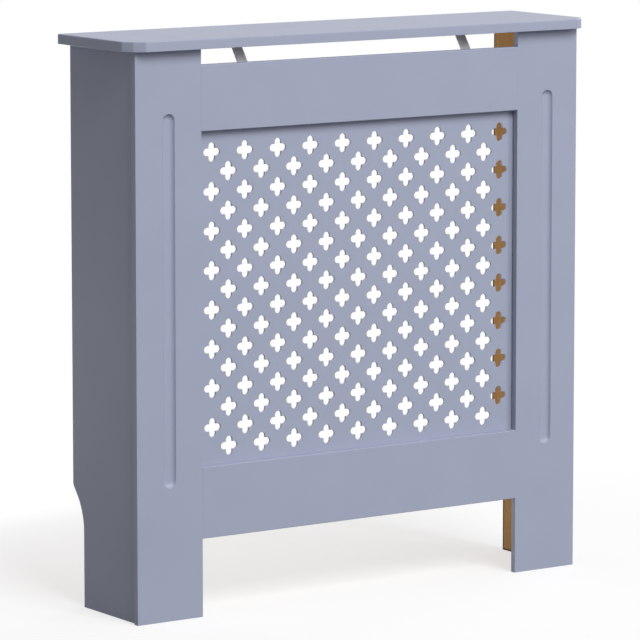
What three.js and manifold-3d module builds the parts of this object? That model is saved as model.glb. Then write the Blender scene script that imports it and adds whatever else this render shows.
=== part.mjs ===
// A radiator cover cabinet: a painted MDF front frame of two grooved pilasters and two
// rails round a pierced grille panel, two side panels cut away over the skirting board,
// and a shelf-like top board. Millimetres, +Z up, front towards -Y.
// The origin is on the floor, under the middle of the top board.

import * as THREE from 'three';
import { mergeVertices } from 'three/addons/utils/BufferGeometryUtils.js';
import Module from 'manifold-3d';

const wasm = await Module();
wasm.setup();

// ---------------------------------------------------------------- driving dimensions

// Top board
const TOP_WIDTH = 780;
const TOP_DEPTH = 190;
const TOP_THICKNESS = 14;
const TOP_SIDE_OVERHANG = 15;
const TOP_FRONT_OVERHANG = 14;
const TOP_CORNER_CLIP = 24;
const TOP_CLIP_BULGE = 3;
const TOP_EASED_EDGE = 1.5;

// Pilasters, each with one round-bottomed groove
const BODY_HEIGHT = 786;
const PILASTER_WIDTH = 106;
const PILASTER_THICKNESS = 9;
const GROOVE_WIDTH = 20;
const GROOVE_DEPTH = 4.5;
const GROOVE_ABOVE_FLOOR = 185;
const GROOVE_BELOW_TOP = 86.5;

// Side panels, set in from the pilasters' outer edges and cut away over the skirting board
const SIDE_THICKNESS = 12;
const SIDE_INSET = 5;
const SKIRTING_DEPTH = 28;
const SKIRTING_HEIGHT = 170;
const SKIRTING_SLOPE = 38;
const SKIRTING_HOLLOW_RADIUS = 70;
const SKIRTING_NOSE_RADIUS = 6;

// Rails
const RAIL_THICKNESS = 10.7;
const TOP_RAIL_HEIGHT = 91;
const BOTTOM_RAIL_HEIGHT = 100;
const OUTLET_GAP = 22.4;
const INLET_GAP = 109.3;

// Grille panel, pierced with rounded crosses in two interleaved grids
const GRILLE_THICKNESS = 3;
const GRILLE_RAIL_LAP = 24;
const GRILLE_SIDE_LAP = 12;
const CROSS_SPAN = 27;
const CROSS_ARM_WIDTH = 10.5;
const CROSS_PITCH = 54.5;
const CROSS_RIM = 5;
const PATTERN_DROP = 3;

// Corner battens, glued behind the pilasters
const BATTEN_SIZE = 20;
const BATTEN_FOOT_GAP = 40;
const BATTEN_HEAD_GAP = 40;

// Bent steel straps from the top board to the top rail
const STRAP_WIDTH = 16.5;
const STRAP_THICKNESS = 1.8;
const STRAP_SPACING = 380;
const STRAP_TAB_LENGTH = 30;
const STRAP_RAIL_DROP = 10;
const STRAP_SLOPE = 35.5;
const STRAP_TO_GRILLE = 17;
const STRAP_BEND_RADIUS = 2;

// Angle brackets that hold the top board to the wall
const BRACKET_SPACING = 500;
const BRACKET_WIDTH = 25;
const BRACKET_LEG = 30;
const BRACKET_DROP = 16;
const BRACKET_THICKNESS = 2;
const BRACKET_BEND_RADIUS = 1;
const BRACKET_WALL_HOLE = 5;

// Dowels and screws
const DOWEL_DIAMETER = 6;
const RAIL_DOWEL_DIAMETER = 5;
const DOWEL_BITE = 15;
const DOWEL_COVER = 4;
const DOWEL_CHAMFER = 0.8;
const RAIL_DOWEL_ROWS = [['lower', 1 / 4], ['upper', 3 / 4]];
const SIDE_DOWEL_INSET = 80;
const TOP_DOWEL_INSET = 45;
const SCREW_DIAMETER = 3;
const SCREW_HEAD_DIAMETER = 6.4;
const SCREW_HEAD_HEIGHT = 2;
const SCREW_CROWN_DIAMETER = 4.5;
const SCREW_COVER = 4;
const SCREW_EDGE_DISTANCE = 8;
const GRILLE_SCREW_INSET = 29;

// Clearance round dowels and screws, the room left at the blind end of their holes, and
// how far a cutter starts outside the face that it cuts
const HOLE_CLEARANCE = 0.3;
const HOLE_END_ROOM = 0.5;
const CUTTER_PROUD = 1;

// Number of flats on round pieces and of steps in one rounded corner, and the turns at
// which a cross arm's round end has its points
const ROUND_SIDES = 8;
const GROOVE_END_SIDES = 16;
const CORNER_STEPS = 4;
const CROSS_ARM_ANGLES = [-50, 0, 50];

// -------------------------------------------------------------------- derived places

const TOTAL_HEIGHT = BODY_HEIGHT + TOP_THICKNESS;
const REAR_Y = TOP_DEPTH / 2;
const FRONT_Y = -TOP_DEPTH / 2 + TOP_FRONT_OVERHANG;
const PILASTER_BACK_Y = FRONT_Y + PILASTER_THICKNESS;
const RAIL_BACK_Y = FRONT_Y + RAIL_THICKNESS;
const GRILLE_BACK_Y = RAIL_BACK_Y + GRILLE_THICKNESS;

const BODY_HALF_WIDTH = TOP_WIDTH / 2 - TOP_SIDE_OVERHANG;
const OPENING_HALF_WIDTH = BODY_HALF_WIDTH - PILASTER_WIDTH;
const PILASTER_X = BODY_HALF_WIDTH - PILASTER_WIDTH / 2;
const SIDE_X = BODY_HALF_WIDTH - SIDE_INSET - SIDE_THICKNESS / 2;
const SIDE_INNER_X = SIDE_X - SIDE_THICKNESS / 2;

const TOP_RAIL_TOP = BODY_HEIGHT - OUTLET_GAP;
const OPENING_TOP = TOP_RAIL_TOP - TOP_RAIL_HEIGHT;
const OPENING_BOTTOM = INLET_GAP + BOTTOM_RAIL_HEIGHT;
const GRILLE_TOP = OPENING_TOP + GRILLE_RAIL_LAP;
const GRILLE_BOTTOM = OPENING_BOTTOM - GRILLE_RAIL_LAP;
const GRILLE_SCREW_SPACING = OPENING_HALF_WIDTH - GRILLE_SCREW_INSET;

const DOWEL_RADIUS = DOWEL_DIAMETER / 2;
const RAIL_DOWEL_RADIUS = RAIL_DOWEL_DIAMETER / 2;
const SCREW_RADIUS = SCREW_DIAMETER / 2;

// ------------------------------------------------------------------------- materials

function material(color, roughness, metalness) {
  return new THREE.MeshStandardMaterial({ color, roughness, metalness });
}

const paintedMdf = material(0x9fa5b8, 0.55, 0);
const rawMdf = material(0x8f6f47, 0.9, 0);
const beech = material(0xc9a678, 0.7, 0);
const zincSteel = material(0x8a8a8a, 0.4, 1);

// ----------------------------------------------------------------- solids and meshes

// A closed solid from a geometry, with only its positions kept and its vertices shared.
function toSolid(geometry) {
  const bare = geometry.clone();
  bare.deleteAttribute('normal');
  bare.deleteAttribute('uv');
  const merged = mergeVertices(bare, 1e-4);
  const vertProperties = new Float32Array(merged.attributes.position.array);
  const triVerts = new Uint32Array(merged.index.array);
  return new wasm.Manifold(new wasm.Mesh({ numProp: 3, vertProperties, triVerts }));
}

function toGeometry(solid) {
  const mesh = solid.getMesh();
  const geometry = new THREE.BufferGeometry();
  const positions = new Float32Array(mesh.vertProperties);
  geometry.setAttribute('position', new THREE.BufferAttribute(positions, 3));
  geometry.setIndex(new THREE.BufferAttribute(new Uint32Array(mesh.triVerts), 1));
  return geometry;
}

// Cuts tools out of a piece. The piece lies round its own origin, which stands at place,
// and the tools are given in the cabinet's own frame.
function cutAway(geometry, place, tools) {
  let solid = toSolid(geometry);
  for (const tool of tools) {
    const moved = tool.clone().translate(-place.x, -place.y, -place.z);
    solid = solid.subtract(toSolid(moved));
  }
  return toGeometry(solid);
}

function piece(name, geometry, finish, place) {
  const mesh = new THREE.Mesh(geometry, finish);
  mesh.name = name;
  mesh.position.copy(place);
  return mesh;
}

// A straight round bar along an axis ('x', 'y' or 'z') between two coordinates on it.
function bar(axis, radius, centre, from, to) {
  const geometry = new THREE.CylinderGeometry(radius, radius, Math.abs(to - from), ROUND_SIDES);
  if (axis === 'x') geometry.rotateZ(Math.PI / 2);
  if (axis === 'z') geometry.rotateX(Math.PI / 2);
  const middle = centre.clone();
  middle[axis] = (from + to) / 2;
  return geometry.translate(middle.x, middle.y, middle.z);
}

// The hole for a dowel or screw that lies between two coordinates on an axis.
function hole(axis, radius, centre, from, to) {
  const reach = Math.sign(to - from) * HOLE_END_ROOM;
  return bar(axis, radius + HOLE_CLEARANCE, centre, from - reach, to + reach);
}

// Points of an outline whose corners, given as [x, y, radius], are rounded by arcs.
function roundedOutline(corners) {
  const points = [];
  corners.forEach(([x, y, radius], i) => {
    const corner = new THREE.Vector2(x, y);
    if (!radius) {
      points.push(corner);
      return;
    }
    const [bx, by] = corners[(i + corners.length - 1) % corners.length];
    const [ax, ay] = corners[(i + 1) % corners.length];
    const back = new THREE.Vector2(bx, by).sub(corner).normalize();
    const ahead = new THREE.Vector2(ax, ay).sub(corner).normalize();
    const half = Math.acos(back.dot(ahead)) / 2;
    const middle = back.clone().add(ahead).normalize();
    const centre = corner.clone().addScaledVector(middle, radius / Math.sin(half));
    const start = corner.clone().addScaledVector(back, radius / Math.tan(half)).sub(centre);
    const turn = (Math.PI - 2 * half) * Math.sign(ahead.cross(back));
    for (let step = 0; step <= CORNER_STEPS; step += 1) {
      const spoke = start.clone().rotateAround(new THREE.Vector2(), turn * step / CORNER_STEPS);
      points.push(spoke.add(centre));
    }
  });
  return points;
}

// Extrudes an outline drawn in the (Y, Z) plane along X, centred on X = 0.
function extrudeAlongX(points, width) {
  const shape = new THREE.Shape(points);
  const geometry = new THREE.ExtrudeGeometry(shape, { depth: width, bevelEnabled: false });
  geometry.translate(0, 0, -width / 2);
  const yzx = new THREE.Matrix4().makeBasis(
    new THREE.Vector3(0, 1, 0),
    new THREE.Vector3(0, 0, 1),
    new THREE.Vector3(1, 0, 0),
  );
  return geometry.applyMatrix4(yzx);
}

// --------------------------------------------------------------------------- dowels

// A dowel is described by its axis, radius, middle line and two ends. Both the dowel and
// its hole come from that.
function dowelPiece({ name, axis, radius, centre, from, to }) {
  const half = Math.abs(to - from) / 2;
  const profile = [
    [0, -half],
    [radius - DOWEL_CHAMFER, -half],
    [radius, -half + DOWEL_CHAMFER],
    [radius, half - DOWEL_CHAMFER],
    [radius - DOWEL_CHAMFER, half],
    [0, half],
  ].map(([x, y]) => new THREE.Vector2(x, y));
  const geometry = new THREE.LatheGeometry(profile, ROUND_SIDES);
  const place = centre.clone();
  place[axis] = (from + to) / 2;
  const dowel = piece(name, geometry, beech, place);
  if (axis === 'x') dowel.rotation.z = -Math.PI / 2;
  if (axis === 'z') dowel.rotation.x = Math.PI / 2;
  return dowel;
}

function dowelHole({ axis, radius, centre, from, to }) {
  return hole(axis, radius, centre, from, to);
}

// Dowels and screws are picked out by a word in their names, such as their side.
function named(word, fasteners) {
  return fasteners.filter((fastener) => fastener.name.includes(word));
}

const SIDES = [['left', -1], ['right', 1]];

// Two dowels join each end of each rail to the edge of its pilaster.
const RAIL_DOWEL_Y = FRONT_Y + Math.min(PILASTER_THICKNESS, RAIL_THICKNESS) / 2;

function railDowels(rail, bottom, height) {
  return SIDES.flatMap(([side, sign]) => RAIL_DOWEL_ROWS.map(([row, share]) => {
    const joint = sign * OPENING_HALF_WIDTH;
    return {
      name: `${rail}_${side}_${row}_dowel`,
      axis: 'x',
      radius: RAIL_DOWEL_RADIUS,
      centre: new THREE.Vector3(0, RAIL_DOWEL_Y, bottom + height * share),
      from: joint - DOWEL_BITE,
      to: joint + DOWEL_BITE,
    };
  }));
}

const topRailDowels = railDowels('top_rail', OPENING_TOP, TOP_RAIL_HEIGHT);
const bottomRailDowels = railDowels('bottom_rail', INLET_GAP, BOTTOM_RAIL_HEIGHT);

// Three dowels join each side panel's front edge to the back of its pilaster.
const SIDE_DOWEL_ROWS = [
  ['lower', SIDE_DOWEL_INSET],
  ['middle', BODY_HEIGHT / 2],
  ['upper', BODY_HEIGHT - SIDE_DOWEL_INSET],
];

const sideDowels = SIDES.flatMap(([side, sign]) => SIDE_DOWEL_ROWS.map(([row, z]) => ({
  name: `${side}_side_${row}_dowel`,
  axis: 'y',
  radius: DOWEL_RADIUS,
  centre: new THREE.Vector3(sign * SIDE_X, 0, z),
  from: FRONT_Y + DOWEL_COVER,
  to: PILASTER_BACK_Y + DOWEL_BITE,
})));

// Two dowels join the top board to the upper edge of each side panel.
const TOP_DOWEL_ROWS = [
  ['front', PILASTER_BACK_Y + TOP_DOWEL_INSET],
  ['rear', REAR_Y - TOP_DOWEL_INSET],
];

const topDowels = SIDES.flatMap(([side, sign]) => TOP_DOWEL_ROWS.map(([row, y]) => ({
  name: `top_${side}_${row}_dowel`,
  axis: 'z',
  radius: DOWEL_RADIUS,
  centre: new THREE.Vector3(sign * SIDE_X, y, 0),
  from: BODY_HEIGHT - DOWEL_BITE,
  to: TOTAL_HEIGHT - DOWEL_COVER,
})));

// --------------------------------------------------------------------------- screws

// A pan-head screw is described by its seat, which is the point under its head, and by
// the axis and sign of the way its shank goes. thickness is the metal or board under the
// head, and bite is the wood beyond.
function screwPiece({ name, axis, sign, seat, thickness, bite }) {
  const length = thickness + bite;
  const headRadius = SCREW_HEAD_DIAMETER / 2;
  const profile = [
    [0, -length],
    [SCREW_RADIUS, -length + SCREW_DIAMETER],
    [SCREW_RADIUS, 0],
    [headRadius, 0],
    [headRadius, SCREW_HEAD_HEIGHT / 2],
    [SCREW_CROWN_DIAMETER / 2, SCREW_HEAD_HEIGHT],
    [0, SCREW_HEAD_HEIGHT],
  ].map(([x, y]) => new THREE.Vector2(x, y));
  const screw = piece(name, new THREE.LatheGeometry(profile, ROUND_SIDES), zincSteel, seat);
  if (axis === 'z') screw.rotation.x = -sign * Math.PI / 2;
  if (axis === 'y' && sign > 0) screw.rotation.x = Math.PI;
  return screw;
}

// The pilot hole through what the screw holds and into the wood that it bites.
function screwHole({ axis, sign, seat, thickness, bite }) {
  const from = seat[axis];
  const to = from + sign * (thickness + bite);
  return hole(axis, SCREW_RADIUS, seat, from, to);
}

// ----------------------------------------------------------------- straps and brackets

// The edge of a metal strip bent to a path of straight runs in the (Y, Z) plane. The path
// is the face that lies on the wood, and the metal is on its right-hand side.
function stripOutline(path, thickness, bendRadius) {
  const points = path.map(([y, z]) => new THREE.Vector2(y, z));
  const normals = points.slice(1).map((point, i) => {
    const run = point.clone().sub(points[i]).normalize();
    return new THREE.Vector2(run.y, -run.x);
  });
  const offset = points.map((point, i) => {
    const before = normals[Math.max(i - 1, 0)];
    const after = normals[Math.min(i, normals.length - 1)];
    const sum = before.clone().add(after);
    return point.clone().addScaledVector(sum, 2 * thickness / sum.lengthSq());
  });
  const isBend = (i) => i > 0 && i < points.length - 1;
  const turnsLeft = (i) => normals[i - 1].cross(normals[i]) > 0;
  const radiusOn = (i, onLeft) => {
    if (!isBend(i)) return 0;
    return turnsLeft(i) === onLeft ? bendRadius : bendRadius + thickness;
  };
  const near = points.map((point, i) => [point.x, point.y, radiusOn(i, true)]);
  const far = offset.map((point, i) => [point.x, point.y, radiusOn(i, false)]);
  return roundedOutline([...near, ...far.reverse()]);
}

// Where a strap's runs meet. The upper tab lies under the top board, the middle run
// slopes down and forward through the outlet gap, and the lower tab lies on the rail.
const STRAP_FOOT_Z = TOP_RAIL_TOP - STRAP_RAIL_DROP;
const STRAP_RUN = (OUTLET_GAP + STRAP_RAIL_DROP) * Math.tan(THREE.MathUtils.degToRad(STRAP_SLOPE));
const STRAP_HEAD_Y = RAIL_BACK_Y + STRAP_RUN;
const STRAP_TAIL_Y = STRAP_HEAD_Y + STRAP_TAB_LENGTH;
const STRAP_BOTTOM_Z = GRILLE_TOP + STRAP_TO_GRILLE;

const STRAP_TOP_SCREW_ROWS = [
  ['front', STRAP_HEAD_Y + SCREW_EDGE_DISTANCE],
  ['rear', STRAP_TAIL_Y - SCREW_EDGE_DISTANCE],
];
const STRAP_RAIL_SCREW_ROWS = [
  ['upper', STRAP_FOOT_Z - SCREW_EDGE_DISTANCE],
  ['lower', STRAP_BOTTOM_Z + SCREW_EDGE_DISTANCE],
];

const strapSpecs = SIDES.map(([side, sign]) => {
  const x = sign * STRAP_SPACING / 2;
  const under = BODY_HEIGHT - STRAP_THICKNESS;
  const behind = RAIL_BACK_Y + STRAP_THICKNESS;
  const topScrews = STRAP_TOP_SCREW_ROWS.map(([row, y]) => ({
    name: `${side}_strap_${row}_screw`,
    axis: 'z',
    sign: 1,
    seat: new THREE.Vector3(x, y, under),
    thickness: STRAP_THICKNESS,
    bite: TOP_THICKNESS - SCREW_COVER,
  }));
  const railScrews = STRAP_RAIL_SCREW_ROWS.map(([row, z]) => ({
    name: `${side}_strap_${row}_screw`,
    axis: 'y',
    sign: -1,
    seat: new THREE.Vector3(x, behind, z),
    thickness: STRAP_THICKNESS,
    bite: RAIL_THICKNESS - SCREW_COVER,
  }));
  return { side, x, topScrews, railScrews };
});

function strapPiece({ side, x, topScrews, railScrews }) {
  const path = [
    [RAIL_BACK_Y, STRAP_BOTTOM_Z],
    [RAIL_BACK_Y, STRAP_FOOT_Z],
    [STRAP_HEAD_Y, BODY_HEIGHT],
    [STRAP_TAIL_Y, BODY_HEIGHT],
  ];
  const outline = stripOutline(path, STRAP_THICKNESS, STRAP_BEND_RADIUS);
  const place = new THREE.Vector3(x, 0, 0);
  const holes = [...topScrews, ...railScrews].map(screwHole);
  const geometry = cutAway(extrudeAlongX(outline, STRAP_WIDTH), place, holes);
  return piece(`${side}_top_strap`, geometry, zincSteel, place);
}

const bracketSpecs = SIDES.map(([side, sign]) => {
  const x = sign * BRACKET_SPACING / 2;
  const y = REAR_Y - BRACKET_LEG / 2;
  const under = BODY_HEIGHT - BRACKET_THICKNESS;
  const shift = BRACKET_WIDTH / 2 - SCREW_HEAD_DIAMETER;
  const screws = SIDES.map(([row, way]) => ({
    name: `${side}_bracket_${row}_screw`,
    axis: 'z',
    sign: 1,
    seat: new THREE.Vector3(x + way * shift, y, under),
    thickness: BRACKET_THICKNESS,
    bite: TOP_THICKNESS - SCREW_COVER,
  }));
  return { side, x, screws };
});

function bracketPiece({ side, x, screws }) {
  const path = [
    [REAR_Y - BRACKET_LEG, BODY_HEIGHT],
    [REAR_Y, BODY_HEIGHT],
    [REAR_Y, BODY_HEIGHT - BRACKET_DROP],
  ];
  const outline = stripOutline(path, BRACKET_THICKNESS, BRACKET_BEND_RADIUS);
  const place = new THREE.Vector3(x, 0, 0);
  const centre = new THREE.Vector3(x, 0, BODY_HEIGHT - BRACKET_DROP / 2 - BRACKET_THICKNESS);
  const through = BRACKET_THICKNESS + CUTTER_PROUD;
  const wallHole = bar('y', BRACKET_WALL_HOLE / 2, centre, REAR_Y - through, REAR_Y + through);
  const holes = [...screws.map(screwHole), wallHole];
  const geometry = cutAway(extrudeAlongX(outline, BRACKET_WIDTH), place, holes);
  return piece(`${side}_wall_bracket`, geometry, zincSteel, place);
}

const strapTopScrews = strapSpecs.flatMap((spec) => spec.topScrews);
const strapRailScrews = strapSpecs.flatMap((spec) => spec.railScrews);
const bracketScrews = bracketSpecs.flatMap((spec) => spec.screws);

// ---------------------------------------------------------------------- grille panel

// Three screws along each lap hold the grille panel to the backs of the rails.
const GRILLE_SCREW_ROWS = [
  ['upper', OPENING_TOP + GRILLE_RAIL_LAP / 2],
  ['lower', OPENING_BOTTOM - GRILLE_RAIL_LAP / 2],
];
const GRILLE_SCREW_COLUMNS = [['left', -1], ['middle', 0], ['right', 1]];

const grilleScrews = GRILLE_SCREW_ROWS.flatMap(([row, z]) => (
  GRILLE_SCREW_COLUMNS.map(([column, sign]) => ({
    name: `grille_${row}_${column}_screw`,
    axis: 'y',
    sign: -1,
    seat: new THREE.Vector3(sign * GRILLE_SCREW_SPACING, GRILLE_BACK_Y, z),
    thickness: GRILLE_THICKNESS,
    bite: RAIL_THICKNESS - SCREW_COVER,
  }))
));

// One rounded cross: four arms with round ends that meet at crisp inner corners.
function crossOutline(x, z) {
  const endRadius = CROSS_ARM_WIDTH / 2;
  const endCentre = CROSS_SPAN / 2 - endRadius;
  const points = [];
  for (let arm = 0; arm < 4; arm += 1) {
    const armPoints = CROSS_ARM_ANGLES.map((angle) => {
      const turn = THREE.MathUtils.degToRad(angle);
      return new THREE.Vector2(endCentre + endRadius * Math.cos(turn), endRadius * Math.sin(turn));
    });
    armPoints.push(new THREE.Vector2(endRadius, endRadius));
    for (const point of armPoints) {
      point.rotateAround(new THREE.Vector2(), arm * Math.PI / 2);
      points.push(point.add(new THREE.Vector2(x, z)));
    }
  }
  return new THREE.Path(points);
}

// The crosses stand in two grids, the second half a pitch across and half a pitch lower.
// Both have as many columns and rows as the opening holds inside a plain rim.
function crossCentres() {
  const room = (size) => size - CROSS_SPAN - 2 * CROSS_RIM;
  const openingWidth = 2 * OPENING_HALF_WIDTH;
  const openingHeight = OPENING_TOP - OPENING_BOTTOM;
  const columns = Math.floor(room(openingWidth) / CROSS_PITCH) + 1;
  const rows = Math.floor(room(openingHeight) / CROSS_PITCH + 1 / 2);
  const middleZ = (OPENING_TOP + OPENING_BOTTOM) / 2 - PATTERN_DROP;
  const leftX = -(columns - 1) * CROSS_PITCH / 2;
  const highZ = middleZ + (2 * rows - 1) * CROSS_PITCH / 4;
  const centres = [];
  for (let half = 0; half < 2 * columns - 1; half += 1) {
    for (let row = 0; row < rows; row += 1) {
      const lower = half % 2 ? CROSS_PITCH / 2 : 0;
      centres.push([leftX + half * CROSS_PITCH / 2, highZ - row * CROSS_PITCH - lower]);
    }
  }
  return centres;
}

function grillePanel() {
  const halfWidth = OPENING_HALF_WIDTH + GRILLE_SIDE_LAP;
  const panel = new THREE.Shape();
  panel.moveTo(-halfWidth, GRILLE_BOTTOM);
  panel.lineTo(halfWidth, GRILLE_BOTTOM);
  panel.lineTo(halfWidth, GRILLE_TOP);
  panel.lineTo(-halfWidth, GRILLE_TOP);
  panel.closePath();
  for (const [x, z] of crossCentres()) panel.holes.push(crossOutline(x, z));
  const board = new THREE.ExtrudeGeometry(panel, { depth: GRILLE_THICKNESS, bevelEnabled: false });
  board.rotateX(Math.PI / 2);
  const place = new THREE.Vector3(0, GRILLE_BACK_Y, 0);
  const geometry = cutAway(board, place, grilleScrews.map(screwHole));
  return piece('grille_panel', geometry, paintedMdf, place);
}

// ---------------------------------------------------------------------- front frame

// The tool that mills a groove: a round-nosed cutter run from one end to the other.
function grooveTool(x) {
  const half = GROOVE_WIDTH / 2;
  const radius = (half * half + GROOVE_DEPTH * GROOVE_DEPTH) / (2 * GROOVE_DEPTH);
  const spread = Math.asin(half / radius);
  const steps = CORNER_STEPS + 1;
  const nose = [];
  for (let step = 0; step <= steps; step += 1) {
    const angle = spread * (1 - step / steps);
    const depth = GROOVE_DEPTH - radius * (1 - Math.cos(angle));
    nose.push(new THREE.Vector2(radius * Math.sin(angle), depth));
  }
  nose[0].set(half, 0);
  nose[steps].set(0, GROOVE_DEPTH);
  const proud = [new THREE.Vector2(0, -CUTTER_PROUD), new THREE.Vector2(half, -CUTTER_PROUD)];
  const end = new THREE.LatheGeometry([...proud, ...nose], GROOVE_END_SIDES);
  const mirrored = nose.slice(0, -1).reverse().map((point) => new THREE.Vector2(-point.x, point.y));
  const corners = [new THREE.Vector2(-half, -CUTTER_PROUD), proud[1]];
  const low = GROOVE_ABOVE_FLOOR + half;
  const high = BODY_HEIGHT - GROOVE_BELOW_TOP - half;
  const run = new THREE.Shape([...corners, ...nose, ...mirrored]);
  const middle = new THREE.ExtrudeGeometry(run, { depth: high - low, bevelEnabled: false });
  return [
    end.clone().translate(x, FRONT_Y, low),
    middle.translate(x, FRONT_Y, low),
    end.translate(x, FRONT_Y, high),
  ];
}

function pilaster(side, sign) {
  const middleY = FRONT_Y + PILASTER_THICKNESS / 2;
  const place = new THREE.Vector3(sign * PILASTER_X, middleY, BODY_HEIGHT / 2);
  const board = new THREE.BoxGeometry(PILASTER_WIDTH, PILASTER_THICKNESS, BODY_HEIGHT);
  const dowels = named(side, [...topRailDowels, ...bottomRailDowels, ...sideDowels]);
  const tools = [...grooveTool(place.x), ...dowels.map(dowelHole)];
  return piece(`${side}_pilaster`, cutAway(board, place, tools), paintedMdf, place);
}

function rail(name, bottom, height, tools) {
  const place = new THREE.Vector3(0, FRONT_Y + RAIL_THICKNESS / 2, bottom + height / 2);
  const board = new THREE.BoxGeometry(2 * OPENING_HALF_WIDTH, RAIL_THICKNESS, height);
  return piece(name, cutAway(board, place, tools), paintedMdf, place);
}

function topRail() {
  const screws = [...strapRailScrews, ...named('upper', grilleScrews)];
  const tools = [...topRailDowels.map(dowelHole), ...screws.map(screwHole)];
  return rail('top_rail', OPENING_TOP, TOP_RAIL_HEIGHT, tools);
}

function bottomRail() {
  const screws = named('lower', grilleScrews);
  const tools = [...bottomRailDowels.map(dowelHole), ...screws.map(screwHole)];
  return rail('bottom_rail', INLET_GAP, BOTTOM_RAIL_HEIGHT, tools);
}

function cornerBatten(side, sign) {
  const length = BODY_HEIGHT - BATTEN_FOOT_GAP - BATTEN_HEAD_GAP;
  const place = new THREE.Vector3(
    sign * (SIDE_INNER_X - BATTEN_SIZE / 2),
    PILASTER_BACK_Y + BATTEN_SIZE / 2,
    BATTEN_FOOT_GAP + length / 2,
  );
  const batten = new THREE.BoxGeometry(BATTEN_SIZE, BATTEN_SIZE, length);
  return piece(`${side}_corner_batten`, batten, rawMdf, place);
}

// ---------------------------------------------------------------- sides and top board

// The side panel's lower rear is cut away in a slope that runs out into a long hollow,
// so that it clears a skirting board and the cabinet stands flat to the wall.
function sidePanel(side, sign) {
  const slopeRise = SKIRTING_DEPTH / Math.tan(THREE.MathUtils.degToRad(SKIRTING_SLOPE));
  const outline = roundedOutline([
    [PILASTER_BACK_Y, 0, 0],
    [REAR_Y - SKIRTING_DEPTH, 0, 0],
    [REAR_Y - SKIRTING_DEPTH, SKIRTING_HEIGHT - slopeRise, SKIRTING_HOLLOW_RADIUS],
    [REAR_Y, SKIRTING_HEIGHT, SKIRTING_NOSE_RADIUS],
    [REAR_Y, BODY_HEIGHT, 0],
    [PILASTER_BACK_Y, BODY_HEIGHT, 0],
  ]);
  const place = new THREE.Vector3(sign * SIDE_X, 0, 0);
  const dowels = named(side, [...sideDowels, ...topDowels]);
  const geometry = cutAway(extrudeAlongX(outline, SIDE_THICKNESS), place, dowels.map(dowelHole));
  return piece(`${side}_side_panel`, geometry, paintedMdf, place);
}

// The top board has eased edges all round. Each front corner is clipped in two cuts, and
// the edge between them stands out a little from the straight line between their ends.
function topBoard() {
  const halfWidth = TOP_WIDTH / 2;
  const clipMiddle = TOP_CORNER_CLIP / 2 - TOP_CLIP_BULGE * Math.SQRT1_2;
  const right = [
    [halfWidth - TOP_CORNER_CLIP, -REAR_Y],
    [halfWidth - clipMiddle, -REAR_Y + clipMiddle],
    [halfWidth, -REAR_Y + TOP_CORNER_CLIP],
    [halfWidth, REAR_Y],
  ];
  const left = right.map(([x, y]) => [-x, y]).reverse();
  const outline = [...left, ...right].map(([x, y]) => new THREE.Vector2(x, y));
  const board = new THREE.ExtrudeGeometry(new THREE.Shape(outline), {
    depth: TOP_THICKNESS - 2 * TOP_EASED_EDGE,
    bevelSize: TOP_EASED_EDGE,
    bevelOffset: -TOP_EASED_EDGE,
    bevelThickness: TOP_EASED_EDGE,
    bevelSegments: 2,
  });
  board.translate(0, 0, TOP_EASED_EDGE);
  const place = new THREE.Vector3(0, 0, BODY_HEIGHT);
  const screws = [...strapTopScrews, ...bracketScrews];
  const tools = [...topDowels.map(dowelHole), ...screws.map(screwHole)];
  return piece('top_board', cutAway(board, place, tools), paintedMdf, place);
}

// ------------------------------------------------------------------------- assembly

const frontFrame = new THREE.Group();
frontFrame.add(...SIDES.map(([side, sign]) => pilaster(side, sign)));
frontFrame.add(topRail(), bottomRail(), grillePanel());
frontFrame.add(...[...topRailDowels, ...bottomRailDowels].map(dowelPiece));
frontFrame.add(...grilleScrews.map(screwPiece));

const carcass = new THREE.Group();
carcass.add(topBoard());
carcass.add(...SIDES.map(([side, sign]) => sidePanel(side, sign)));
carcass.add(...SIDES.map(([side, sign]) => cornerBatten(side, sign)));
carcass.add(...[...sideDowels, ...topDowels].map(dowelPiece));

const fixings = new THREE.Group();
fixings.add(...strapSpecs.map(strapPiece), ...bracketSpecs.map(bracketPiece));
fixings.add(...[...strapTopScrews, ...strapRailScrews, ...bracketScrews].map(screwPiece));

const group = new THREE.Group();
group.add(frontFrame, carcass, fixings);

export default group;
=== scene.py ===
# A radiator cover cabinet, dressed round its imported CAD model. Metres, +Z up, front
# towards -Y, the wall towards +Y, and the origin on the floor under the top board.

import math

import bmesh
import bpy
from mathutils import Matrix, Vector


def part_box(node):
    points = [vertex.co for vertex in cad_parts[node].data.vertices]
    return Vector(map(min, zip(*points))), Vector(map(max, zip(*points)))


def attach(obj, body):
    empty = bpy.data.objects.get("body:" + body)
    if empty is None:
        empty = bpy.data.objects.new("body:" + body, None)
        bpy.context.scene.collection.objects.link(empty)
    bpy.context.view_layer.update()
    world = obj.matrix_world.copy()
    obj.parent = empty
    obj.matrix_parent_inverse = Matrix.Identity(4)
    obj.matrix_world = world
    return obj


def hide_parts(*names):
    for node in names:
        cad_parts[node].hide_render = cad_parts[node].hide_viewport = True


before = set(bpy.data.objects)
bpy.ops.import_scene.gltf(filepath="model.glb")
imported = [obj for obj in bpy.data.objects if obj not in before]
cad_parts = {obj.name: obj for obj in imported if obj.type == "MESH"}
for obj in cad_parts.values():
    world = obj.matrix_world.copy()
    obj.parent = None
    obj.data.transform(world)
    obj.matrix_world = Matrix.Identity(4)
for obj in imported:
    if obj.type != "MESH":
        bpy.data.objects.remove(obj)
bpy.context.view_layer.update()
bpy.context.scene.view_settings.view_transform = "Standard"

# ------------------------------------------------------------------------------- camera
# A long lens at chest height, turned to the cabinet's left front corner. It looks down
# by a few degrees, and its small shift keeps the cabinet's uprights nearly upright.

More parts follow.
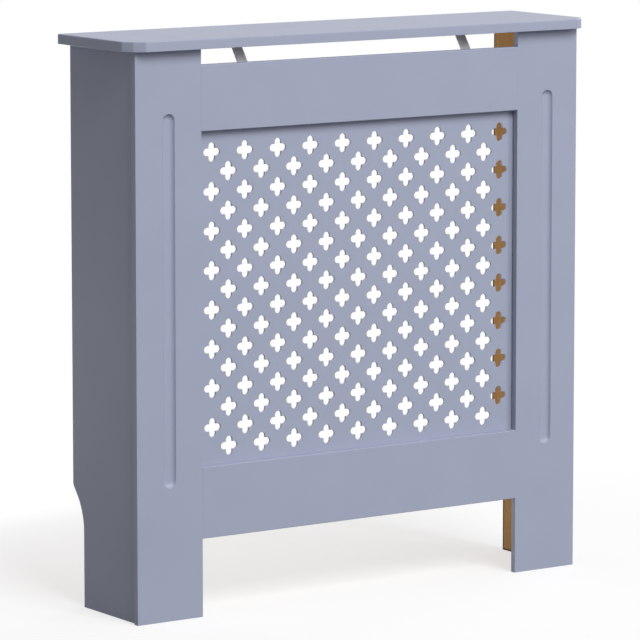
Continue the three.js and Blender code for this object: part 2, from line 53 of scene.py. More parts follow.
CAMERA_PLACE = (-3.4808, -5.0420, 1.2663)
CAMERA_TURN = 0.60185
CAMERA_PITCH = 0.12865
CAMERA_LENS = 245.5
CAMERA_SHIFT = -0.1

camera_data = bpy.data.cameras.new("camera")
camera_data.lens = CAMERA_LENS
camera_data.shift_y = CAMERA_SHIFT
camera = bpy.data.objects.new("camera", camera_data)
camera.location = CAMERA_PLACE
camera.rotation_euler = (math.pi / 2 - CAMERA_PITCH, 0, -CAMERA_TURN)
bpy.context.scene.collection.objects.link(camera)
bpy.context.scene.camera = camera

# -------------------------------------------------------------------------------- floor
# A seamless studio floor of matt white paper. It keeps a pale shadow near the cabinet and
# runs into an even white further out. For rays that see it, tone and glow make 1 in full
# light. For the light that it throws back on the cabinet it is darker.

FLOOR_SIZE = 80
FLOOR_LIT_RADIUS = 0.5
FLOOR_WHITE_RADIUS = 1.2
PAPER_WHITE = 0xFFFFFF
PAPER_TONE = 0x9A9A9A
PAPER_BOUNCE = 0x808080
PAPER_GLOW = 0.66


def linear(colour):
    """The linear RGBA of an sRGB hex colour."""
    shares = [(colour >> shift & 0xFF) / 255 for shift in (16, 8, 0)]
    return (*[s / 12.92 if s <= 0.04045 else ((s + 0.055) / 1.055) ** 2.4 for s in shares], 1)


def add_node(tree, kind, settings=None, inputs=None):
    """Adds a node with its settings, and sets or links its inputs."""
    node = tree.nodes.new(kind)
    for name, value in (settings or {}).items():
        setattr(node, name, value)
    for key, value in (inputs or {}).items():
        if isinstance(value, bpy.types.NodeSocket):
            tree.links.new(value, node.inputs[key])
        else:
            node.inputs[key].default_value = value
    return node


def direct_view(tree):
    """1 for the rays that see the background: camera, glossy and transmission rays."""
    path = add_node(tree, "ShaderNodeLightPath")
    seen = add_node(
        tree,
        "ShaderNodeMath",
        {"operation": "MAXIMUM"},
        {0: path.outputs["Is Camera Ray"], 1: path.outputs["Is Glossy Ray"]},
    )
    return add_node(
        tree,
        "ShaderNodeMath",
        {"operation": "MAXIMUM"},
        {0: seen.outputs[0], 1: path.outputs["Is Transmission Ray"]},
    ).outputs[0]


def new_material(name):
    """An empty node material: its tree, with an output node to link a shader to."""
    made = bpy.data.materials.new(name)
    made.use_nodes = True
    made.node_tree.nodes.clear()
    return made, made.node_tree, add_node(made.node_tree, "ShaderNodeOutputMaterial")


paper, tree, output = new_material("matt white studio paper")
seen = direct_view(tree)
tone = add_node(
    tree,
    "ShaderNodeMix",
    {"data_type": "RGBA"},
    {"Factor": seen, 6: linear(PAPER_BOUNCE), 7: linear(PAPER_TONE)},
)
matt = add_node(tree, "ShaderNodeBsdfDiffuse", None, {"Color": tone.outputs[2]})
level = add_node(
    tree, "ShaderNodeMath", {"operation": "MULTIPLY"}, {0: seen, 1: PAPER_GLOW}
)
glow = add_node(
    tree,
    "ShaderNodeEmission",
    None,
    {"Color": linear(PAPER_WHITE), "Strength": level.outputs[0]},
)
lit = add_node(tree, "ShaderNodeAddShader", None, {0: matt.outputs[0], 1: glow.outputs[0]})
even = add_node(tree, "ShaderNodeEmission", None, {"Color": linear(PAPER_WHITE)})
place = add_node(tree, "ShaderNodeTexCoord")
distance = add_node(
    tree, "ShaderNodeVectorMath", {"operation": "LENGTH"}, {0: place.outputs["Object"]}
)
spread = add_node(
    tree,
    "ShaderNodeMapRange",
    {"interpolation_type": "SMOOTHSTEP"},
    {
        "Value": distance.outputs["Value"],
        "From Min": FLOOR_LIT_RADIUS,
        "From Max": FLOOR_WHITE_RADIUS,
    },
)
far = add_node(
    tree, "ShaderNodeMath", {"operation": "MULTIPLY"}, {0: spread.outputs[0], 1: seen}
)
surface = add_node(
    tree,
    "ShaderNodeMixShader",
    None,
    {0: far.outputs[0], 1: lit.outputs[0], 2: even.outputs[0]},
)
tree.links.new(surface.outputs[0], output.inputs["Surface"])

bm = bmesh.new()
bmesh.ops.create_grid(bm, x_segments=1, y_segments=1, size=FLOOR_SIZE / 2)
floor_mesh = bpy.data.meshes.new("floor")
bm.to_mesh(floor_mesh)
bm.free()
floor_mesh.materials.append(paper)
floor = bpy.data.objects.new("floor", floor_mesh)
bpy.context.scene.collection.objects.link(floor)

# -------------------------------------------------------------------------------- light
# A white studio with a dim even room. A large soft box stands high in front of the cabinet
# and a smaller one at its right front. A small one close behind lights its inside, and a
# weak one its right side.

ROOM_LEVEL = 0.235
SOFT_BOX_AIM = (0, 0, 0.4)

world = bpy.data.worlds.new("white studio room")
bpy.context.scene.world = world
world.use_nodes = True
tree = world.node_tree
tree.nodes.clear()
room = add_node(tree, "ShaderNodeBackground", None, {"Strength": ROOM_LEVEL})
white = add_node(tree, "ShaderNodeBackground", None, {"Strength": 1.0})
for background in (room, white):
    background.inputs["Color"].default_value = linear(PAPER_WHITE)
surface = add_node(
    tree,
    "ShaderNodeMixShader",
    None,
    {0: direct_view(tree), 1: room.outputs[0], 2: white.outputs[0]},
)
add_node(tree, "ShaderNodeOutputWorld", None, {"Surface": surface.outputs[0]})


def soft_box(name, place, size, power):
    """A square soft box that faces the middle of the cabinet."""
    data = bpy.data.lights.new(name, "AREA")
    data.size = size
    data.energy = power
    lamp = bpy.data.objects.new(name, data)
    lamp.location = place
    lamp.visible_camera = False
    aim = Vector(SOFT_BOX_AIM) - Vector(place)
    lamp.rotation_euler = aim.to_track_quat("-Z", "Y").to_euler()
    bpy.context.scene.collection.objects.link(lamp)


soft_box("front_soft_box", (-0.35, -14.5, 14.4), 9.5, 3340)
soft_box("right_front_soft_box", (4.3, -5.6, 3.0), 1.8, 118)
soft_box("rear_soft_box", (-0.25, 1.1, 0.1), 0.5, 8.8)
soft_box("right_rear_soft_box", (7.0, 3.2, 3.4), 3.5, 120)

# ---------------------------------------------------------------------------- top board
# The shelf is one board of MDF, sawn to shape with two cuts at each front corner, its
# arrises eased with sandpaper, then sprayed with satin paint. It is dowelled to the sides.

TOP_CORNER_CLIP = 0.024
TOP_CLIP_BULGE = 0.003
TOP_ARRIS = 0.0015
TOP_LOWER_ARRIS = 0.0004
TOP_SMOOTH_ANGLE = 60
SAME_PLACE = 1e-6
NEARLY_SQUARE = 1.5

# Satin acrylic paint, sprayed: a dielectric with IOR 1.38 and medium roughness. The eye
# sees an even soft tone, a faint drift in it from coat to coat, and a fine orange peel.
# The real peel is about 1 mm across. It is drawn 3 mm across, because a pixel is 1.6 mm.
PAINT = 0xA2A8BD
PAINT_THIN = 0x9BA1B6
PAINT_IOR = 1.38
PAINT_DRIFT = 0.09
PAINT_PEEL = 0.003
PEEL_HEIGHT = 0.00004
PAINT_SMOOTHEST = 0.42
PAINT_ROUGHEST = 0.50

paint, tree, output = new_material("satin acrylic paint on MDF")
place = add_node(tree, "ShaderNodeTexCoord")
drift = add_node(
    tree,
    "ShaderNodeTexNoise",
    None,
    {"Vector": place.outputs["Object"], "Scale": 1 / PAINT_DRIFT, "Detail": 3.0},
)
tone = add_node(
    tree,
    "ShaderNodeMix",
    {"data_type": "RGBA"},
    {"Factor": drift.outputs["Fac"], 6: linear(PAINT_THIN), 7: linear(PAINT)},
)
peel = add_node(
    tree,
    "ShaderNodeTexNoise",
    None,
    {"Vector": place.outputs["Object"], "Scale": 1 / PAINT_PEEL, "Detail": 1.0},
)
gloss = add_node(
    tree,
    "ShaderNodeMapRange",
    None,
    {
        "Value": peel.outputs["Fac"],
        "To Min": PAINT_SMOOTHEST,
        "To Max": PAINT_ROUGHEST,
    },
)
relief = add_node(
    tree,
    "ShaderNodeBump",
    None,
    {"Height": peel.outputs["Fac"], "Distance": PEEL_HEIGHT, "Strength": 0.6},
)
coat = add_node(
    tree,
    "ShaderNodeBsdfPrincipled",
    None,
    {
        "Base Color": tone.outputs[2],
        "Roughness": gloss.outputs[0],
        "IOR": PAINT_IOR,
        "Normal": relief.outputs[0],
    },
)
tree.links.new(coat.outputs[0], output.inputs["Surface"])


def bevel(bm, edges, width, segments):
    """Eases these edges by width."""
    bmesh.ops.bevel(
        bm,
        geom=edges,
        offset=width,
        offset_type="OFFSET",
        segments=segments,
        profile=0.5,
        affect="EDGES",
        material=-1,
    )


def square_edges(bm):
    """The edges where two faces meet at a right angle."""
    return [e for e in bm.edges if e.is_manifold and e.calc_face_angle() > NEARLY_SQUARE]


def finish_piece(bm, name, materials, nodes, smooth_angle=40):
    """Makes a piece of this mesh that stands for these CAD nodes and rides on the body."""
    bmesh.ops.remove_doubles(bm, verts=bm.verts, dist=SAME_PLACE)
    bmesh.ops.recalc_face_normals(bm, faces=bm.faces)
    mesh = bpy.data.meshes.new(name)
    bm.to_mesh(mesh)
    bm.free()
    for finish in materials:
        mesh.materials.append(finish)
    mesh.shade_smooth()
    mesh.set_sharp_from_angle(angle=math.radians(smooth_angle))
    made = bpy.data.objects.new(name, mesh)
    bpy.context.scene.collection.objects.link(made)
    level = made.modifiers.new("even shading", "WEIGHTED_NORMAL")
    level.keep_sharp = True
    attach(made, "root")
    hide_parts(*nodes)


def thicken(bm, move):
    """Gives the flat sheet of this mesh its thickness, by this move."""
    raised = bmesh.ops.extrude_face_region(bm, geom=bm.faces[:])["geom"]
    lifted = [v for v in raised if isinstance(v, bmesh.types.BMVert)]
    bmesh.ops.translate(bm, verts=lifted, vec=move)


low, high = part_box("top_board")
middle = TOP_CORNER_CLIP / 2 - TOP_CLIP_BULGE / math.sqrt(2)
right = [
    (high.x - TOP_CORNER_CLIP, low.y),
    (high.x - middle, low.y + middle),
    (high.x, low.y + TOP_CORNER_CLIP),
    (high.x, high.y),
]
left = [(-x, y) for x, y in reversed(right)]
bm = bmesh.new()
bm.faces.new([bm.verts.new((x, y, low.z)) for x, y in left + right])
thicken(bm, (0, 0, high.z - low.z))
eased = [e for e in bm.edges if max(v.co.z for v in e.verts) > high.z - SAME_PLACE]
bevel(bm, eased, TOP_ARRIS, segments=3)
bevel(bm, square_edges(bm), TOP_LOWER_ARRIS, segments=2)
finish_piece(bm, "shelf_board", [paint], ["top_board"], TOP_SMOOTH_ANGLE)

# ---------------------------------------------------------------------------- pilasters
# Two wide MDF boards form the front's uprights. Each has one groove, milled with a
# bowl-shaped cutter after sawing: steep at its rim, and flat along its middle. The face
# and edges are sprayed, and the back is raw.

GROOVE_HALF_WIDTH = 0.010
GROOVE_DEPTH = 0.0045
GROOVE_RIM_SLOPE = math.radians(66)
GROOVE_ABOVE_FLOOR = 0.185
GROOVE_BELOW_TOP = 0.0865
GROOVE_STEPS = 7
GROOVE_END_STEPS = 18
BOARD_ARRIS = 0.00025
RAW_FINISH = 1
NEARLY_ALONG = 0.99

# Raw MDF: pressed wood fibre and resin, matt and rough. The eye sees an even brown,
# flecked with darker and paler fibre bundles of 1 to 2 mm. It has no grain, but faint
# upright streaks a few millimetres wide, left by the belt that sanded the sheet.
MDF_BROWN = 0xCC9D5D
MDF_DARK = 0xA8783E
MDF_PALE = 0xE3B877
MDF_FLECK = 0.0022
MDF_STREAK = 0.003
MDF_STREAK_STRETCH = 0.04
MDF_CLOUD = 0.03
MDF_STREAK_SHARE = 0.3
MDF_DARK_BELOW = 0.35
MDF_PALE_ABOVE = 0.65
MDF_SMOOTHEST = 0.82
MDF_ROUGHEST = 0.94
MDF_RELIEF = 0.0001


def fibreboard(name, dark, brown, pale):
    """Raw MDF in these tones."""
    made, tree, output = new_material(name)
    place = add_node(tree, "ShaderNodeTexCoord")
    fleck = add_node(
        tree,
        "ShaderNodeTexNoise",
        None,
        {
            "Vector": place.outputs["Object"],
            "Scale": 1 / MDF_FLECK,
            "Detail": 4.0,
            "Roughness": 0.7,
        },
    )
    upright = add_node(
        tree,
        "ShaderNodeMapping",
        None,
        {"Vector": place.outputs["Object"], "Scale": (1, 1, MDF_STREAK_STRETCH)},
    )
    streak = add_node(
        tree,
        "ShaderNodeTexNoise",
        None,
        {"Vector": upright.outputs[0], "Scale": 1 / MDF_STREAK, "Detail": 2.0},
    )
    pattern = add_node(
        tree,
        "ShaderNodeMix",
        None,
        {"Factor": MDF_STREAK_SHARE, 2: fleck.outputs["Fac"], 3: streak.outputs["Fac"]},
    )
    ramp = add_node(tree, "ShaderNodeValToRGB", None, {"Fac": pattern.outputs[0]})
    ramp.color_ramp.elements[0].position = MDF_DARK_BELOW
    ramp.color_ramp.elements[0].color = linear(dark)
    ramp.color_ramp.elements[1].position = MDF_PALE_ABOVE
    ramp.color_ramp.elements[1].color = linear(pale)
    cloud = add_node(
        tree,
        "ShaderNodeTexNoise",
        None,
        {"Vector": place.outputs["Object"], "Scale": 1 / MDF_CLOUD, "Detail": 2.0},
    )
    tone = add_node(
        tree,
        "ShaderNodeMix",
        {"data_type": "RGBA"},
        {"Factor": cloud.outputs["Fac"], 6: ramp.outputs["Color"], 7: linear(brown)},
    )
    matt = add_node(
        tree,
        "ShaderNodeMapRange",
        None,
        {"Value": fleck.outputs["Fac"], "To Min": MDF_SMOOTHEST, "To Max": MDF_ROUGHEST},
    )
    relief = add_node(
        tree,
        "ShaderNodeBump",
        None,
        {"Height": fleck.outputs["Fac"], "Distance": MDF_RELIEF, "Strength": 0.5},
    )
    fibre = add_node(
        tree,
        "ShaderNodeBsdfPrincipled",
        None,
        {
            "Base Color": tone.outputs[2],
            "Roughness": matt.outputs[0],
            "Normal": relief.outputs[0],
        },
    )
    tree.links.new(fibre.outputs[0], output.inputs["Surface"])
    return made


raw_mdf = fibreboard("raw MDF", MDF_DARK, MDF_BROWN, MDF_PALE)


def raw_faces(bm, way):
    """Gives the raw finish to the faces that look this way."""
    bmesh.ops.recalc_face_normals(bm, faces=bm.faces)
    for face in bm.faces:
        if face.normal.dot(Vector(way)) > NEARLY_ALONG:
            face.material_index = RAW_FINISH


def extruded(bm, edges, move):
    """Extrudes these edges by this move, and returns the new far edges."""
    made = bmesh.ops.extrude_edge_only(bm, edges=edges)["geom"]
    far = [v for v in made if isinstance(v, bmesh.types.BMVert)]
    bmesh.ops.translate(bm, verts=far, vec=move)
    return [e for e in made if isinstance(e, bmesh.types.BMEdge) and set(e.verts) <= set(far)]


def spun(bm, edges, centre, axis, angle, steps):
    """Spins these edges and returns the last ones."""
    ends = list({v for e in edges for v in e.verts})
    made = bmesh.ops.spin(
        bm, geom=ends + edges, cent=centre, axis=axis, angle=angle, steps=steps
    )["geom_last"]
    return [e for e in made if isinstance(e, bmesh.types.BMEdge)]


def front_outline(bm, low, high):
    """Adds the four edges round the front of this box, and returns them."""
    corners = [(low.x, low.z), (high.x, low.z), (high.x, high.z), (low.x, high.z)]
    ring = [bm.verts.new((x, low.y, z)) for x, z in corners]
    return [bm.edges.new((ring[i - 1], ring[i])) for i in range(len(ring))]


for side in ("left", "right"):
    low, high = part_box(f"{side}_pilaster")
    centre = (low.x + high.x) / 2
    foot = low.z + GROOVE_ABOVE_FLOOR + GROOVE_HALF_WIDTH
    head = high.z - GROOVE_BELOW_TOP - GROOVE_HALF_WIDTH
    rounding = GROOVE_DEPTH / (1 - math.cos(GROOVE_RIM_SLOPE))
    flat = GROOVE_HALF_WIDTH - rounding * math.sin(GROOVE_RIM_SLOPE)
    bm = bmesh.new()
    foot_of_wall = bmesh.ops.spin(
        bm,
        geom=[bm.verts.new((centre + GROOVE_HALF_WIDTH, low.y, head))],
        cent=(centre + flat, low.y + GROOVE_DEPTH - rounding, head),
        axis=(0, 0, 1),
        angle=GROOVE_RIM_SLOPE,
        steps=GROOVE_STEPS,
    )["geom_last"][0]
    bm.edges.new((foot_of_wall, bm.verts.new((centre, low.y + GROOVE_DEPTH, head))))
    wall = bm.edges[:]
    wall = spun(bm, wall, (centre, low.y, head), (0, -1, 0), math.pi, GROOVE_END_STEPS)
    wall = extruded(bm, wall, (0, 0, foot - head))
    wall = spun(bm, wall, (centre, low.y, foot), (0, -1, 0), math.pi, GROOVE_END_STEPS)
    extruded(bm, wall, (0, 0, head - foot))
    bmesh.ops.remove_doubles(bm, verts=bm.verts, dist=SAME_PLACE)
    rim = [e for e in bm.edges if e.is_boundary]
    outer = front_outline(bm, low, high)
    bmesh.ops.triangle_fill(bm, edges=rim + outer, use_beauty=True)
    back = extruded(bm, outer, (0, high.y - low.y, 0))
    bmesh.ops.contextual_create(bm, geom=back)
    raw_faces(bm, (0, 1, 0))
    bevel(bm, square_edges(bm), BOARD_ARRIS, segments=2)
    finish_piece(
        bm, f"{side}_upright", [paint, raw_mdf], [f"{side}_pilaster"]
    )

# -------------------------------------------------------------------------------- rails
# Two plain MDF rails lie between the uprights, flush with their faces and a little
# thicker, and are dowelled to them. They are sprayed alike, and their backs stay raw.

RAIL_ARRIS = 0.0011


def board(node):
    """A square-edged board that fills this CAD node's box."""
    low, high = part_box(node)
    bm = bmesh.new()
    block = Matrix.Translation((low + high) / 2) @ Matrix.Diagonal((*(high - low), 1))
    bmesh.ops.create_cube(bm, size=1, matrix=block)
    return bm


for name, node in (("upper_rail", "top_rail"), ("lower_rail", "bottom_rail")):
    bm = board(node)
    raw_faces(bm, (0, 1, 0))
    long_edges = [e for e in bm.edges if e.verts[0].co.x * e.verts[1].co.x < 0]
    bevel(bm, long_edges, RAIL_ARRIS, segments=3)
    finish_piece(bm, name, [paint, raw_mdf], [node])

# ------------------------------------------------------------------------------- grille
# The grille is a thin MDF sheet, routed through with 152 rounded crosses in staggered
# columns, then sprayed on its face and through its holes. It is screwed to the rails.

CROSS_REACH = 0.00825
CROSS_ARM_RADIUS = 0.00525
CROSS_ARM_STEPS = 6
CROSS_ARMS = 4
CROSS_PITCH = 0.0545
CROSS_COLUMNS = 19
CROSS_ROWS = 8
PATTERN_DROP = 0.003
GRILLE_ARRIS = 0.0003

low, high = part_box("grille_panel")
bm = bmesh.new()
bmesh.ops.spin(
    bm,
    geom=[bm.verts.new((CROSS_REACH, low.y, CROSS_ARM_RADIUS))],
    cent=(CROSS_REACH, low.y, 0),
    axis=(0, 1, 0),
    angle=math.pi,
    steps=CROSS_ARM_STEPS,
)
bm.verts.ensure_lookup_table()
for tip, z in ((bm.verts[0], CROSS_ARM_RADIUS), (bm.verts[-1], -CROSS_ARM_RADIUS)):
    bm.edges.new((tip, bm.verts.new((CROSS_ARM_RADIUS, low.y, z))))
bmesh.ops.spin(
    bm,
    geom=bm.verts[:] + bm.edges[:],
    cent=(0, low.y, 0),
    axis=(0, 1, 0),
    angle=math.pi * 2,
    steps=CROSS_ARMS,
    use_duplicate=True,
)
bmesh.ops.remove_doubles(bm, verts=bm.verts, dist=SAME_PLACE)
cross = bm.verts[:] + bm.edges[:]
opening_middle = (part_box("top_rail")[0].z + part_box("bottom_rail")[1].z) / 2
top_row = opening_middle - PATTERN_DROP + (CROSS_ROWS - 1 / 2) * CROSS_PITCH / 2
for column in range(CROSS_COLUMNS):
    for row in range(CROSS_ROWS):
        x = (column - (CROSS_COLUMNS - 1) / 2) * CROSS_PITCH / 2
        z = top_row - (row + column % 2 / 2) * CROSS_PITCH
        copy = bmesh.ops.duplicate(bm, geom=cross)["geom"]
        moved = [v for v in copy if isinstance(v, bmesh.types.BMVert)]
        bmesh.ops.translate(bm, verts=moved, vec=(x, 0, z))
bmesh.ops.delete(bm, geom=[g for g in cross if isinstance(g, bmesh.types.BMVert)])
front_outline(bm, low, high)
bmesh.ops.triangle_fill(bm, edges=bm.edges[:], use_beauty=True)
thicken(bm, (0, high.y - low.y, 0))
raw_faces(bm, (0, 1, 0))
arrises = [e for e in square_edges(bm) if max(v.co.y for v in e.verts) < low.y + SAME_PLACE]
bevel(bm, arrises, GRILLE_ARRIS, segments=1)
finish_piece(bm, "pierced_grille", [paint, raw_mdf], ["grille_panel"])

# -------------------------------------------------------------------------- side panels
# Two MDF side panels, sawn out at the lower rear in a soft curve so that they clear a
# skirting board. They are sprayed outside and on their edges, and stay raw inside. A darker
# rim a few millimetres wide is painted round the raw face: painted shade along its edges.

# The rim's width and its dark browns are painted shade along the edges of the raw inner face.
SHADED_RIM_WIDTH = 0.003
RIM_SHADE_DARK = 0x4E3D24
RIM_SHADE_BROWN = 0x5E4B2E
RIM_SHADE_PALE = 0x6F5A39
SKIRTING_DEPTH = 0.028
SKIRTING_HEIGHT = 0.170
SKIRTING_SLOPE = math.radians(38)
SKIRTING_HOLLOW_RADIUS = 0.070
SKIRTING_NOSE_RADIUS = 0.006
SKIRTING_HOLLOW_STEPS = 14
SKIRTING_NOSE_STEPS = 5
RIM_SHADE_FINISH = 2

# A darker raw MDF for the rim of the inner face: painted shade, not a finish of the board.
rim_shade_mdf = fibreboard("MDF with painted shade at its rim", RIM_SHADE_DARK, RIM_SHADE_BROWN, RIM_SHADE_PALE)


def round_corner(bm, vert, turn, radius, steps):
    """Rounds this corner of an outline, where it turns by this angle, to this radius."""
    bmesh.ops.bevel(
        bm,
        geom=[vert],
        offset=radius * math.tan(turn / 2),
        offset_type="OFFSET",
        segments=steps,
        profile=0.5,
        affect="VERTICES",
        material=-1,
    )


for side, inward in (("left", 1), ("right", -1)):
    low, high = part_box(f"{side}_side_panel")
    inset = high.y - SKIRTING_DEPTH
    hollow = SKIRTING_HEIGHT - SKIRTING_DEPTH / math.tan(SKIRTING_SLOPE)
    outline = [
        (low.y, low.z),
        (inset, low.z),
        (inset, hollow),
        (high.y, SKIRTING_HEIGHT),
        (high.y, high.z),
        (low.y, high.z),
    ]
    bm = bmesh.new()
    corners = [bm.verts.new((low.x, y, z)) for y, z in outline]
    bm.faces.new(corners)
    round_corner(bm, corners[2], SKIRTING_SLOPE, SKIRTING_HOLLOW_RADIUS, SKIRTING_HOLLOW_STEPS)
    round_corner(bm, corners[3], SKIRTING_SLOPE, SKIRTING_NOSE_RADIUS, SKIRTING_NOSE_STEPS)
    thicken(bm, (high.x - low.x, 0, 0))
    raw_faces(bm, (inward, 0, 0))
    inside = [f for f in bm.faces if f.material_index == RAW_FINISH]
    # A narrow band round the inner face takes the darker MDF, as painted shade along its
    # edges.
    rim = bmesh.ops.inset_region(bm, faces=inside, thickness=SHADED_RIM_WIDTH, use_even_offset=True)
    for face in rim["faces"]:
        face.material_index = RIM_SHADE_FINISH
    bevel(bm, square_edges(bm), BOARD_ARRIS, segments=2)
    finishes = [paint, raw_mdf, rim_shade_mdf]
    finish_piece(bm, f"{side}_side_board", finishes, [f"{side}_side_panel"])

# ----------------------------------------------------------------------- corner battens
# Square battens of raw MDF, glued upright behind the pilasters in the two front corners,
# so that the thin boards hold square. They are sawn, and stop short of floor and top.

BATTEN_ARRIS = 0.0006

for side in ("left", "right"):
    bm = board(f"{side}_corner_batten")
    bevel(bm, bm.edges[:], BATTEN_ARRIS, segments=2)
    finish_piece(bm, f"{side}_batten", [raw_mdf], [f"{side}_corner_batten"])

# ------------------------------------------------------------------------------- dowels
# Turned beech dowels, glued into blind holes, join the rails, side panels and top board.
# They are wholly inside the boards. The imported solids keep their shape.

BEECH = 0xD8B48A
BEECH_GRAIN = 0xBE9468
GRAIN_SPACING = 0.0012
BEECH_SMOOTHEST = 0.50
BEECH_ROUGHEST = 0.62
BEECH_RELIEF = 0.00005

beech, tree, output = new_material("turned beech")
place = add_node(tree, "ShaderNodeTexCoord")
grain = add_node(
    tree,
    "ShaderNodeTexNoise",
    None,
    {"Vector": place.outputs["Object"], "Scale": 1 / GRAIN_SPACING, "Detail": 3.0},
)
tone = add_node(
    tree,
    "ShaderNodeMix",
    {"data_type": "RGBA"},
    {"Factor": grain.outputs["Fac"], 6: linear(BEECH_GRAIN), 7: linear(BEECH)},
)
planed = add_node(
    tree,
    "ShaderNodeMapRange",
    None,
    {"Value": grain.outputs["Fac"], "To Min": BEECH_SMOOTHEST, "To Max": BEECH_ROUGHEST},
)
relief = add_node(
    tree,
    "ShaderNodeBump",
    None,
    {"Height": grain.outputs["Fac"], "Distance": BEECH_RELIEF, "Strength": 0.4},
)
wood = add_node(
    tree,
    "ShaderNodeBsdfPrincipled",
    None,
    {
        "Base Color": tone.outputs[2],
        "Roughness": planed.outputs[0],
        "Normal": relief.outputs[0],
    },
)
tree.links.new(wood.outputs[0], output.inputs["Surface"])

for name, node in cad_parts.items():
    if name.endswith("_dowel"):
        for held in node.material_slots:
            held.material = beech

# --------------------------------------------------------------------------- top straps
# Two strips of zinc-plated steel, bent twice in a press, hold the top board to the top
# rail across the outlet gap. Each tab has two screw holes, covered by the screws' heads.

STRAP_TAB = 0.030
STRAP_RAIL_DROP = 0.010
STRAP_THICKNESS = 0.0018
STRAP_BEND = 0.002
BEND_STEPS = 6
STRIP_ARRIS = 0.0002

# Zinc plating on cold-rolled steel, passivated: the coat is dull and milky, so it shows
# as part metal, part pale grey. The eye sees no clear reflection, but slight clouds and
# faint rolling lines along the strip.
ZINC = 0xDEDEE0
ZINC_DULL = 0xC8C8CA
ZINC_CLOUD = 0.006
ZINC_LINES = 0.0008
ZINC_LINE_STRETCH = 0.03
ZINC_METALLIC = 0.6
ZINC_SMOOTHEST = 0.62
ZINC_ROUGHEST = 0.76
ZINC_RELIEF = 0.00002

zinc, tree, output = new_material("zinc-plated steel")
place = add_node(tree, "ShaderNodeTexCoord")
cloud = add_node(
    tree,
    "ShaderNodeTexNoise",
    None,
    {"Vector": place.outputs["Object"], "Scale": 1 / ZINC_CLOUD, "Detail": 3.0},
)
tone = add_node(
    tree,
    "ShaderNodeMix",
    {"data_type": "RGBA"},
    {"Factor": cloud.outputs["Fac"], 6: linear(ZINC_DULL), 7: linear(ZINC)},
)
across = add_node(
    tree,
    "ShaderNodeMapping",
    None,
    {
        "Vector": place.outputs["Object"],
        "Scale": (1, ZINC_LINE_STRETCH, ZINC_LINE_STRETCH),
    },
)
lines = add_node(
    tree,
    "ShaderNodeTexNoise",
    None,
    {"Vector": across.outputs[0], "Scale": 1 / ZINC_LINES, "Detail": 2.0},
)
polish = add_node(
    tree,
    "ShaderNodeMapRange",
    None,
    {"Value": cloud.outputs["Fac"], "To Min": ZINC_SMOOTHEST, "To Max": ZINC_ROUGHEST},
)
relief = add_node(
    tree,
    "ShaderNodeBump",
    None,
    {"Height": lines.outputs["Fac"], "Distance": ZINC_RELIEF, "Strength": 0.5},
)
plate = add_node(
    tree,
    "ShaderNodeBsdfPrincipled",
    None,
    {
        "Base Color": tone.outputs[2],
        "Metallic": ZINC_METALLIC,
        "Roughness": polish.outputs[0],
        "Normal": relief.outputs[0],
    },
)
tree.links.new(plate.outputs[0], output.inputs["Surface"])


def chain(bm, places):
    """Adds points at these places, with an edge from each to the next."""
    points = [bm.verts.new(place) for place in places]
    for before, after in zip(points, points[1:]):
        bm.edges.new((before, after))
    return points


def bent_strip(run, low, high, thickness, bend):
    """A strip bent along a run of outer-face points, from x low to high, metal inside."""
    bm = bmesh.new()
    points = chain(bm, [(low, y, z) for y, z in run])
    runs = [after.co - before.co for before, after in zip(points, points[1:])]
    turns = [before.angle(after) for before, after in zip(runs, runs[1:])]
    for vert, turn in zip(points[1:-1], turns):
        round_corner(bm, vert, turn, bend + thickness, BEND_STEPS)
    extruded(bm, bm.edges[:], (high - low, 0, 0))
    return bm


def plated(bm, thickness, name, nodes):
    """Gives this sheet its thickness below and in front, eased edges and the zinc finish."""
    bmesh.ops.recalc_face_normals(bm, faces=bm.faces)
    if max(bm.faces, key=lambda f: f.calc_center_median().z).normal.z < 0:
        bmesh.ops.reverse_faces(bm, faces=bm.faces)
    bmesh.ops.solidify(bm, geom=bm.faces[:], thickness=thickness)
    bmesh.ops.recalc_face_normals(bm, faces=bm.faces)
    bevel(bm, square_edges(bm), STRIP_ARRIS, segments=2)
    finish_piece(bm, name, [zinc], nodes)


for side in ("left", "right"):
    low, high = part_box(f"{side}_top_strap")
    run = [
        (low.y, low.z),
        (low.y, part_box("top_rail")[1].z - STRAP_RAIL_DROP),
        (high.y - STRAP_TAB, high.z),
        (high.y, high.z),
    ]
    bm = bent_strip(run, low.x, high.x, STRAP_THICKNESS, STRAP_BEND)
    plated(bm, STRAP_THICKNESS, f"{side}_bent_strap", [f"{side}_top_strap"])

# ------------------------------------------------------------------------ wall brackets
# Two small angle brackets of the same plated steel under the top board's rear edge. The
# drop leg has a hole for a screw into the wall, and the other leg is screwed to the board.

BRACKET_THICKNESS = 0.002
BRACKET_BEND = 0.001
WALL_HOLE_RADIUS = 0.0025
WALL_HOLE_ABOVE_FOOT = 0.006
WALL_HOLE_SIDES = 24

for side in ("left", "right"):
    low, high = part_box(f"{side}_wall_bracket")
    run = ((low.y, high.z), (high.y, high.z), (high.y, low.z))
    bm = bent_strip(run, low.x, high.x, BRACKET_THICKNESS, BRACKET_BEND)
    leg = min(bm.faces, key=lambda f: f.calc_center_median().z)
    border = leg.edges[:]
    bmesh.ops.delete(bm, geom=[leg], context="FACES_ONLY")
    centre = ((low.x + high.x) / 2, high.y, low.z + WALL_HOLE_ABOVE_FOOT)
    around = bmesh.ops.create_circle(
        bm,
        segments=WALL_HOLE_SIDES,
        radius=WALL_HOLE_RADIUS,
        matrix=Matrix.Translation(centre) @ Matrix.Rotation(math.pi / 2, 4, "X"),
    )["verts"]
    hole = [e for e in bm.edges if e.verts[0] in around]
    bmesh.ops.triangle_fill(bm, edges=border + hole, use_beauty=True)
    plated(bm, BRACKET_THICKNESS, f"{side}_angle_bracket", [f"{side}_wall_bracket"])

# ------------------------------------------------------------------------------- screws
# Zinc-plated chipboard screws with pan heads and a cross recess hold the straps, the
# brackets and the grille. They are driven from below, or from the back of the cabinet.

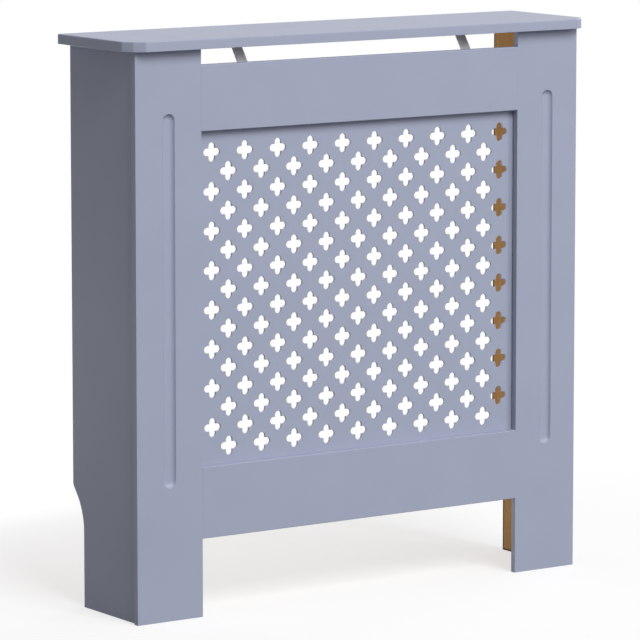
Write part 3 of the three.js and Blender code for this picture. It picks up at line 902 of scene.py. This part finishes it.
SCREW_RADIUS = 0.0015
SCREW_HEAD_RADIUS = 0.0032
SCREW_HEAD_HEIGHT = 0.002
SCREW_EDGE_HEIGHT = 0.0007
SCREW_SHOULDER_RADIUS = 0.002976
SCREW_SHOULDER_HEIGHT = 0.0015
SCREW_CROWN_RADIUS = 0.00225
SCREW_SIDES = 24
SCREW_SMOOTH_ANGLE = 35
RECESS_REACH = 0.0016
RECESS_HALF_WIDTH = 0.0003
RECESS_DEPTH = 0.0012
RECESS_TAPER = 0.35
RECESS_ARMS = 4


def screw(bm, node):
    """Adds the screw of this CAD node, its head down or to the rear."""
    low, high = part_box(node)
    size = high - low
    upright = size.z > size.y
    length = max(size) - SCREW_HEAD_HEIGHT
    made = bmesh.new()
    profile = [
        (0, -length),
        (SCREW_RADIUS / 2, -length + SCREW_RADIUS),
        (SCREW_RADIUS, -length + SCREW_RADIUS * 2),
        (SCREW_RADIUS, 0),
        (SCREW_HEAD_RADIUS, 0),
        (SCREW_HEAD_RADIUS, SCREW_EDGE_HEIGHT),
        (SCREW_SHOULDER_RADIUS, SCREW_SHOULDER_HEIGHT),
        (SCREW_CROWN_RADIUS, SCREW_HEAD_HEIGHT),
    ]
    chain(made, [(x, 0, z) for x, z in profile])
    bmesh.ops.spin(
        made,
        geom=made.verts[:] + made.edges[:],
        cent=(0, 0, 0),
        axis=(0, 0, 1),
        angle=math.pi * 2,
        steps=SCREW_SIDES,
        use_merge=True,
    )
    bmesh.ops.remove_doubles(made, verts=made.verts, dist=SAME_PLACE)
    crown = [e for e in made.edges if e.is_boundary]
    arm = [
        (RECESS_HALF_WIDTH, RECESS_HALF_WIDTH),
        (RECESS_REACH, RECESS_HALF_WIDTH),
        (RECESS_REACH, -RECESS_HALF_WIDTH),
    ]
    corners = []
    for turn in range(RECESS_ARMS):
        spin = Matrix.Rotation(-turn * math.pi * 2 / RECESS_ARMS, 3, "Z")
        for x, y in arm:
            corners.append(made.verts.new(spin @ Vector((x, y, SCREW_HEAD_HEIGHT))))
    recess = [made.edges.new((corners[i - 1], corners[i])) for i in range(len(corners))]
    bmesh.ops.triangle_fill(made, edges=crown + recess, use_beauty=True)
    sunk = extruded(made, recess, (0, 0, -RECESS_DEPTH))
    narrow = list({v for e in sunk for v in e.verts})
    bmesh.ops.scale(made, verts=narrow, vec=(RECESS_TAPER, RECESS_TAPER, 1))
    bmesh.ops.contextual_create(made, geom=sunk)
    if upright:
        turn = Matrix.Rotation(math.pi, 4, "X")
        seat = Vector((low.x + size.x / 2, low.y + size.y / 2, low.z + SCREW_HEAD_HEIGHT))
    else:
        turn = Matrix.Rotation(-math.pi / 2, 4, "X")
        seat = Vector((low.x + size.x / 2, high.y - SCREW_HEAD_HEIGHT, low.z + size.z / 2))
    bmesh.ops.transform(made, matrix=Matrix.Translation(seat) @ turn, verts=made.verts)
    mesh = bpy.data.meshes.new("screw")
    made.to_mesh(mesh)
    made.free()
    bm.from_mesh(mesh)
    bpy.data.meshes.remove(mesh)


for group in ("strap", "bracket", "grille"):
    nodes = [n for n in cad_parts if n.endswith("_screw") and f"{group}_" in n]
    bm = bmesh.new()
    for node in nodes:
        screw(bm, node)
    finish_piece(bm, f"{group}_screws", [zinc], nodes, SCREW_SMOOTH_ANGLE)
